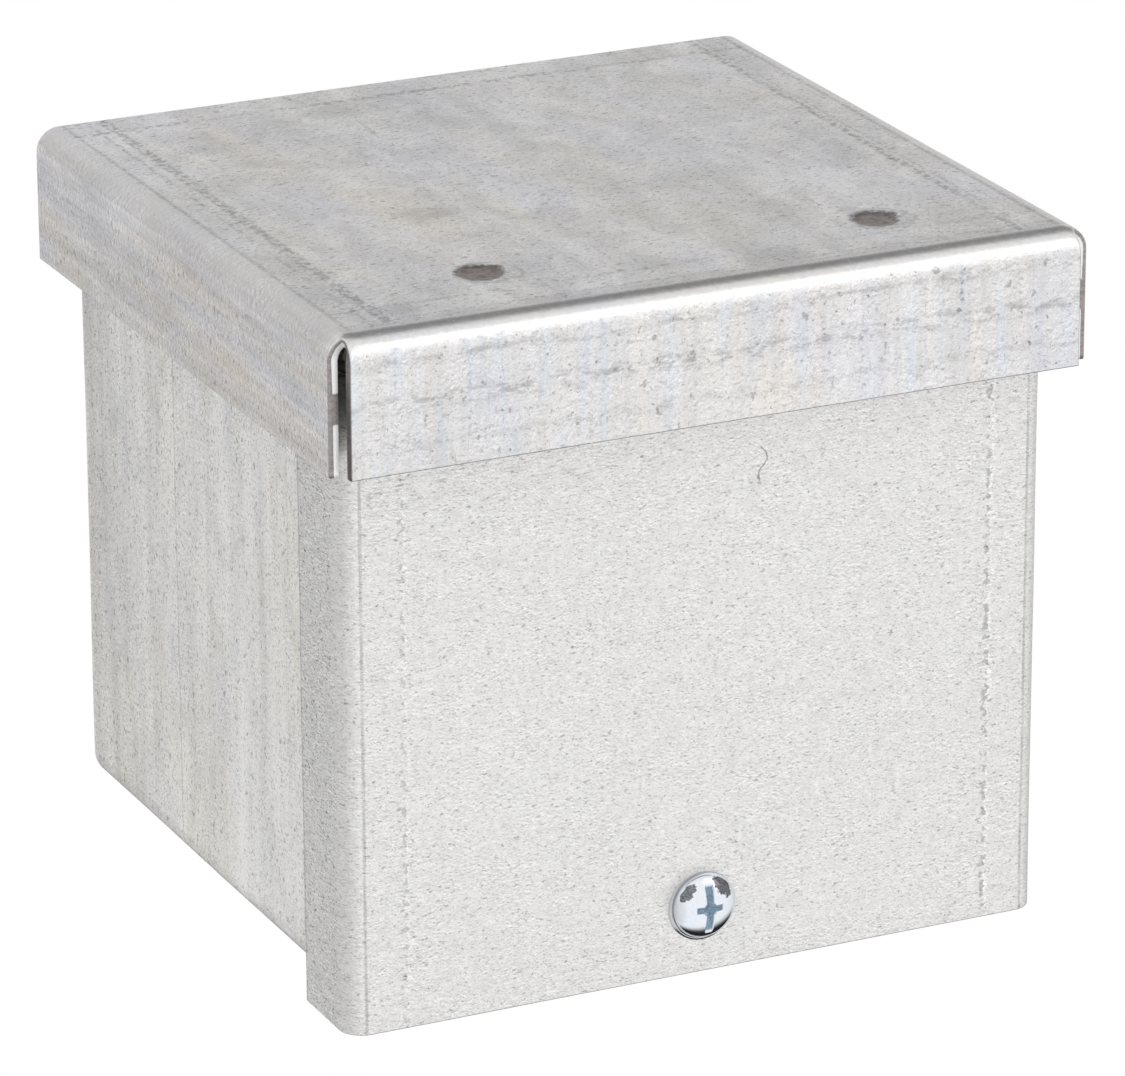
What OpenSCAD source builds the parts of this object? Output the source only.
// Rainproof screw-cover junction box, folded from galvanised sheet steel.
// A wrapped body sheet, a top and a bottom plate and a drip shield are welded
// into one box. A channel-shaped cover slips up under the drip shield and is
// held by one screw near its bottom edge.
// Frame: X to the right, +Y into the wall, +Z up. The origin is the centre of
// the four wall-mounting holes, on the plane of the wall.

/* [Box body] */
// Outside width of the wrapped body sheet
body_w = 101.6; // [98:0.1:120]
// Depth of the body, from the back sheet's outer face to its front edge
body_d = 97.5; // [90:0.5:120]
// Height of the wrapped body sheet, flange to flange
body_h = 95.4; // [94:0.1:120]
// Thickness of every folded sheet
sheet_t = 1.5; // [1.2:0.05:1.6]
// Outside radius of the folds
bend_r = 3.5; // [3:0.1:4]
// Width of the body sheet's inward flanges
flange_w = 12; // [9:0.5:13]
// Width of the relief slot between two flanges
relief_w = 1.5; // [1:0.1:2]
// Outside radius of the fold at each plate's front lip
lip_bend_r = 2.5; // [2.2:0.1:2.6]
// How far the side sheets' front edges sit behind the plates' front lips
edge_setback = 0.75; // [0.7:0.05:1]
// Height of each plate's front lip
lip_h = 15; // [13:0.5:18]
// Width of the top and bottom plates
plate_w = 94; // [90:0.5:94]

/* [Drip shield] */
// Gap between the body's side and the inside of the shield's side flange
shield_gap = 3.74; // [3.2:0.01:5]
// How far the shield's front flange stands in front of the body's front edge
shield_overhang = 8.56; // [8:0.01:10]
// Height of the shield's flanges, from its top face
shield_drop = 19.3; // [16:0.1:20]
// Gap between the ends of the front flange and the inside of the side flanges
corner_gap = 0.7; // [0.4:0.1:1.2]
// How far the side flanges' front ends sit behind the front flange's face
corner_setback = 2.45; // [2:0.05:3]
// Radius of the weld dimples on the shield's top
weld_r = 3.3; // [2.5:0.1:4]
// Depth of the weld dimples
weld_depth = 0.3; // [0.1:0.05:0.4]

/* [Cover] */
// Gap between the body's side and the inside of the cover's flange
cover_gap = 0.385; // [0.25:0.005:0.6]
// Gap between the body's front edge and the inside of the cover
cover_front_gap = 0.36; // [0.2:0.01:0.6]
// Depth of the cover's side flanges, from its front face
cover_flange = 14.4; // [12:0.1:20]
// Height of the cover
cover_h = 93.8; // [90:0.1:96]
// How far the cover hangs below the body sheet
cover_hang = 2.9; // [2.5:0.1:6]
// Height of the screw's centre above the cover's bottom edge
screw_up = 10.5; // [10:0.1:11]
// Radius of the screw's clearance hole in the cover
cover_hole_r = 2.75; // [2.6:0.05:3]

/* [Fasteners] */
// Radius over the screws' threads, a number 10 machine screw
thread_r = 2.4; // [2.4:0.01:2.42]
// Radial running clearance of the screws in their threaded holes
thread_clear = 0.05; // [0.02:0.01:0.08]
// Radius of the cover screw's head
head_r = 4.75; // [4.5:0.05:5]
// Height of the cover screw's head
head_h = 2.7; // [2.4:0.1:3]
// Length of the cover screw under its head
screw_len = 9.5; // [8:0.1:10]
// Outside radius of the cover screw's flat washer
washer_r = 5.1; // [4.9:0.05:5.6]
// Radius of the flat washer's bore, loose on the screw
washer_bore = 2.95; // [2.9:0.05:3.2]
// How far the loose flat washer hangs below the screw's axis
washer_drop = 0.5; // [0:0.05:0.5]
// Thickness of the flat washer
washer_t = 0.8; // [0.6:0.1:1]
// Height of the clinch nut behind the lip
nut_h = 3; // [2.5:0.1:4]
// Length of the ground screw under its head
ground_len = 6; // [5.6:0.1:6]
// Height of the ground screw above the origin, negative for below
ground_z = -22; // [-26:1:26]

/* [Wall mounting] */
// Distance between neighbouring mounting holes, across and up
hole_pitch = 63.5; // [58:0.5:66]
// Radius of the mounting holes
hole_r = 3.55; // [3.2:0.05:3.8]
// Radius of the flat top of each raised boss round a mounting hole
boss_r = 7; // [6:0.1:7.5]
// How far the bosses hold the back sheet off the wall
boss_rise = 2.2; // [2:0.1:2.4]

/* [Knockouts] */
// Distance of each knockout from the middle of the bottom plate
knock_x = 22.5; // [20:0.5:23]
// Distance of the knockouts from the back sheet's outer face
knock_y = 48; // [40:1:60]
// Radius of the larger knockout, which takes a 3/4 inch conduit
knock_r = 14.3; // [14:0.1:14.6]
// Radius of the smaller knockout, which takes a 1/2 inch conduit
slug_r = 11.15; // [11:0.05:11.3]
// Sheared gap round a knockout
shear = 0.05; // [0.02:0.01:0.08]

/* [Hidden] */

past = 1;                            // how far a cut runs past a face
fold_steps = 10;                     // straight steps in each fold
body_drop = 1.64;                    // body's mid-height, below the origin

y_back = -boss_rise;                 // outer face of the back sheet
y_inside = y_back - sheet_t;         // inner face of the back sheet
y_collar = y_inside - sheet_t;       // front of the ground hole's collar
y_edge = y_back - body_d;            // front face of the plates' lips
z_bot = -body_h / 2 - body_drop;     // underside of the body sheet's flanges
z_top = z_bot + body_h;              // top of the body sheet's flanges
z_mid = (z_bot + z_top) / 2;
z_roof = z_top + sheet_t;            // top of the top plate, underside of the shield
z_crown = z_roof + sheet_t;          // top face of the shield
z_floor = z_bot - sheet_t;           // underside of the bottom plate

shield_w = body_w + 2 * (shield_gap + sheet_t);
y_flange = y_edge - shield_overhang; // front face of the shield's front flange

cover_w = body_w + 2 * (cover_gap + sheet_t);
y_cover = y_edge - cover_front_gap - sheet_t;   // front face of the cover
z_cover = z_bot - cover_hang;        // bottom edge of the cover
z_screw = z_cover + screw_up;

tapped_r = thread_r + thread_clear;  // threaded holes
nut_hole_r = 3.17;                   // hole for the clinch nut in the bottom plate's lip
lock_washer_t = 1;

function arc(x, y, radius, from, to) =
    [for (i = [0:fold_steps])
        let (angle = from + (to - from) * i / fold_steps)
        [x + radius * cos(angle), y + radius * sin(angle)]];

// Channel section: web along X, from y = 0 down to -sheet_t, legs down to -depth.
function channel(width, depth, radius) =
    let (side = width / 2, centre = side - radius, inner_r = radius - sheet_t)
    concat(
        [[side, -depth]],
        arc(centre, -radius, radius, 0, 90),
        arc(-centre, -radius, radius, 90, 180),
        [[-side, -depth], [-side + sheet_t, -depth]],
        arc(-centre, -radius, inner_r, 180, 90),
        arc(centre, -radius, inner_r, 90, 0),
        [[side - sheet_t, -depth]]);

// Angle section: one leg along X from 0 to length, folded down at x = 0 to -depth.
function angle_section(length, depth, radius) = concat(
    [[length, 0]],
    arc(radius, -radius, radius, 90, 180),
    [[0, -depth], [sheet_t, -depth]],
    arc(radius, -radius, radius - sheet_t, 180, 90),
    [[length, -sheet_t]]);

// Lays a section's X along Y and its Y along Z, and extrudes it along X, centred.
module along_x(length) {
    translate([-length / 2, 0, 0]) rotate([90, 0, 90]) linear_extrude(length) children();
}

// Lays a section's Y along Z, and extrudes it between y_from and y_to.
module along_y(y_from, y_to) {
    translate([0, y_to, 0]) rotate([90, 0, 0]) linear_extrude(y_to - y_from) children();
}

// A rod or cone along Y at height z, from y_from back to y_to.
module rod_y(z, y_from, y_to, r_front, r_back = undef) {
    translate([0, y_from, z]) rotate([-90, 0, 0])
        cylinder(r1 = r_front, r2 = is_undef(r_back) ? r_front : r_back,
                 h = y_to - y_from, $fn = 48);
}

// A cut through an upright sheet whose front face is at y_face.
module sheet_hole(z, y_face, radius) {
    rod_y(z, y_face - past, y_face + sheet_t + past, radius);
}

module at_wall_holes() {
    for (sx = [-1, 1], sz = [-1, 1])
        translate([sx * hole_pitch / 2, 0, sz * hole_pitch / 2]) children();
}

module at_knockout(side) {
    translate([side * knock_x, y_back - knock_y, z_floor]) children();
}

// Shank and chamfered tip, running to +Y from the head's underside at y = 0.
module screw_shank(length, tip) {
    sunk = 0.5;   // start of the shank, inside the head
    rotate([-90, 0, 0]) {
        translate([0, 0, -sunk])
            cylinder(r = thread_r, h = length + sunk - tip, $fn = 48);
        translate([0, 0, length - tip])
            cylinder(r1 = thread_r, r2 = thread_r - tip, h = tip, $fn = 48);
    }
}

// Back and both sides, one sheet folded at the two rear corners.
module wrapped_sheet(end_gap) {
    translate([0, y_back, z_bot + end_gap]) linear_extrude(body_h - 2 * end_gap)
        polygon(channel(body_w, body_d - edge_setback, bend_r));
}

// Upright channel section whose legs are a pair of inward flanges.
module flange_section(width) {
    rotate(-90) polygon(channel(body_h, width, bend_r));
}

module body_shell() color([0.70, 0.71, 0.72]) {
    corner_end_gap = 1;    // rear corners stop this far short of the full height
    corner_reach = 6;      // depth of the rear corners, forward of the back face
    lip_clear = 0.3;       // side flanges, behind the end of the lip's fold
    back_narrower = 1;     // back flanges, against the side ones
    boss_flare = 2.4;      // extra radius at a boss's foot
    recess_inset = 1;      // the recess's end, inside the boss's flat top
    collar_r = 4;

    difference() {
        union() {
            wrapped_sheet(bend_r);
            // the rear corners run on almost to the full height
            intersection() {
                wrapped_sheet(corner_end_gap);
                for (s = [-1, 1])
                    translate([s * body_w / 2 - flange_w, y_back - corner_reach, z_bot])
                        cube([2 * flange_w, 2 * flange_w, body_h]);
            }
            // inward flanges of the two sides
            for (s = [0, 1]) mirror([s, 0, 0])
                translate([body_w / 2, 0, 0])
                    along_y(y_edge + lip_bend_r + lip_clear, y_back - corner_reach - relief_w)
                        translate([0, z_mid]) flange_section(flange_w);
            // inward flanges of the back
            along_x(body_w - 2 * flange_w - 2 * relief_w)
                translate([y_back, z_mid]) flange_section(flange_w - back_narrower);
            // raised bosses that stand on the wall
            at_wall_holes() rod_y(0, y_back - sheet_t / 2, 0, boss_r + boss_flare, boss_r);
            // collar of the tapped ground hole, drawn inwards
            rod_y(ground_z, y_collar, y_back - sheet_t / 2, collar_r);
        }
        // hollow behind each boss's top, and the mounting hole
        at_wall_holes() {
            rod_y(0, y_inside - past, -sheet_t, boss_r + boss_flare, boss_r - recess_inset);
            rod_y(0, y_inside - 2 * past, past, hole_r);
        }
        rod_y(ground_z, y_collar - sheet_t, past, tapped_r);
    }
}

// Flat plate with a front lip; its outer face is at z = 0 and its lip points to +Z.
module lipped_plate() {
    translate([0, y_edge, 0]) along_x(plate_w) mirror([0, 1])
        polygon(angle_section(body_d, lip_h, lip_bend_r));
}

module top_plate() color([0.67, 0.68, 0.69]) {
    translate([0, 0, z_roof]) mirror([0, 0, 1]) lipped_plate();
}

module bottom_plate() color([0.67, 0.68, 0.69]) {
    difference() {
        translate([0, 0, z_floor]) lipped_plate();
        for (s = [-1, 1]) at_knockout(s) translate([0, 0, -past])
            cylinder(r = knock_r, h = sheet_t + 2 * past, $fn = 96);
        sheet_hole(z_screw, y_edge, nut_hole_r);
    }
}

module drip_shield() color([0.63, 0.63, 0.63]) {
    front_lap = 20;   // front flange's top leg, behind the body's front edge
    // weld dimples: x, distance behind the body's front edge
    welds = [[-26.9, 10.1], [31.2, 8.3]];
    // sphere that cuts a dimple of the given radius and depth
    weld_ball_r = (weld_r * weld_r + weld_depth * weld_depth) / (2 * weld_depth);

    difference() {
        union() {
            // top and both side flanges, cleared at the front for the front flange's fold
            difference() {
                translate([0, 0, z_crown]) along_y(y_flange + corner_setback, y_back)
                    polygon(channel(shield_w, shield_drop, bend_r));
                translate([-shield_w / 2 + bend_r, y_flange - past, z_roof - past])
                    cube([shield_w - 2 * bend_r, bend_r + past, 2 * sheet_t + past]);
            }
            // front flange
            translate([0, y_flange, z_crown])
                along_x(shield_w - 2 * sheet_t - 2 * corner_gap)
                    polygon(angle_section(shield_overhang + front_lap, shield_drop, bend_r));
        }
        for (weld = welds)
            translate([weld[0], y_edge + weld[1], z_crown - weld_depth + weld_ball_r])
                sphere(r = weld_ball_r, $fn = 96);
    }
}

module front_cover() color([0.86, 0.86, 0.85]) {
    difference() {
        translate([0, y_cover, z_cover]) mirror([0, 1, 0]) linear_extrude(cover_h)
            polygon(channel(cover_w, cover_flange, bend_r));
        sheet_hole(z_screw, y_cover, cover_hole_r);
    }
}

module cover_clinch_nut() color([0.74, 0.75, 0.78]) {
    shank_r = 3.15;
    shank_inset = 0.1;    // shank's front end, behind the lip's front face
    shank_overlap = 0.5;  // shank's back end, behind the lip
    nut_r = 3.9;
    nut_gap = 0.05;       // between the lip and the nut's wide part
    y_lip = y_edge + sheet_t;

    difference() {
        union() {
            rod_y(z_screw, y_edge + shank_inset, y_lip + shank_overlap, shank_r);
            rod_y(z_screw, y_lip + nut_gap, y_lip + nut_h, nut_r);
        }
        rod_y(z_screw, y_edge - past, y_lip + nut_h + past, tapped_r);
    }
}

module cover_flat_washer() color([0.70, 0.71, 0.74]) {
    translate([0, y_cover, z_screw - washer_drop]) rotate([90, 0, 0]) difference() {
        cylinder(r = washer_r, h = washer_t, $fn = 96);
        translate([0, 0, -past]) cylinder(r = washer_bore, h = washer_t + 2 * past, $fn = 64);
    }
}

// Domed head with its underside at z = 0 and its crown at z = head_h.
module domed_head() {
    rim_h = 0.7;         // straight rim under the dome
    slot_w = 1.1;
    slot_depth = 1.1;
    cross_len = 5;
    cross_w = 1;
    cross_depth = 1.7;
    cut_h = 3;           // reaches above the crown

    difference() {
        rotate_extrude($fn = 96) polygon(concat(
            [[0, 0], [head_r, 0], [head_r, rim_h]],
            [for (i = [1:9]) [head_r * cos(i * 10), rim_h + (head_h - rim_h) * sin(i * 10)]]));
        translate([-slot_w / 2, -head_r - past, head_h - slot_depth])
            cube([slot_w, 2 * (head_r + past), cut_h]);
        for (arm = [[cross_len, cross_w], [cross_w, cross_len]])
            translate([-arm[0] / 2, -arm[1] / 2, head_h - cross_depth])
                cube([arm[0], arm[1], cut_h]);
    }
}

module cover_screw() color([0.78, 0.80, 0.84]) {
    translate([0, y_cover - washer_t, z_screw]) {
        rotate([90, 0, 0]) domed_head();
        screw_shank(screw_len, tip = 0.5);
    }
}

// Split ring under the ground screw's head.
module ground_lock_washer() color([0.72, 0.73, 0.75]) {
    ring_r = 4.4;
    bore_clear = 0.08;
    split_w = 0.8;

    translate([0, y_collar, ground_z]) rotate([90, 0, 0]) difference() {
        cylinder(r = ring_r, h = lock_washer_t, $fn = 64);
        translate([0, 0, -past])
            cylinder(r = thread_r + bore_clear, h = lock_washer_t + 2 * past, $fn = 48);
        translate([0, -split_w / 2, -past])
            cube([ring_r + past, split_w, lock_washer_t + 2 * past]);
    }
}

// Slotted hexagon head on a round flange, with its shank.
module ground_screw() color([0.10, 0.45, 0.22]) {
    flange_r = 4.9;
    flange_t = 0.9;
    hex_r = 4.45;        // over the hexagon's corners
    hex_h = 3.4;
    slot = [1.2, 12, 3]; // width, length and height of the slot's cut
    slot_floor = 2.2;

    translate([0, y_collar - lock_washer_t, ground_z]) {
        rotate([90, 0, 0]) difference() {
            union() {
                cylinder(r = flange_r, h = flange_t, $fn = 64);
                cylinder(r = hex_r, h = hex_h, $fn = 6);
            }
            translate([-slot[0] / 2, -slot[1] / 2, slot_floor]) cube(slot);
        }
        screw_shank(ground_len, tip = 0.4);
    }
}

module knockout_ring(side) color([0.66, 0.67, 0.68]) {
    at_knockout(side) difference() {
        cylinder(r = knock_r - shear, h = sheet_t, $fn = 96);
        translate([0, 0, -past]) cylinder(r = slug_r, h = sheet_t + 2 * past, $fn = 96);
    }
}

module knockout_slug(side) color([0.66, 0.67, 0.68]) {
    at_knockout(side) cylinder(r = slug_r - shear, h = sheet_t, $fn = 96);
}

module knockout_ring_left() { knockout_ring(-1); }
module knockout_slug_left() { knockout_slug(-1); }
module knockout_ring_right() { knockout_ring(1); }
module knockout_slug_right() { knockout_slug(1); }

body_shell();
top_plate();
bottom_plate();
drip_shield();
cover_clinch_nut();
front_cover();
cover_flat_washer();
cover_screw();
ground_lock_washer();
ground_screw();
knockout_ring_left();
knockout_slug_left();
knockout_ring_right();
knockout_slug_right();
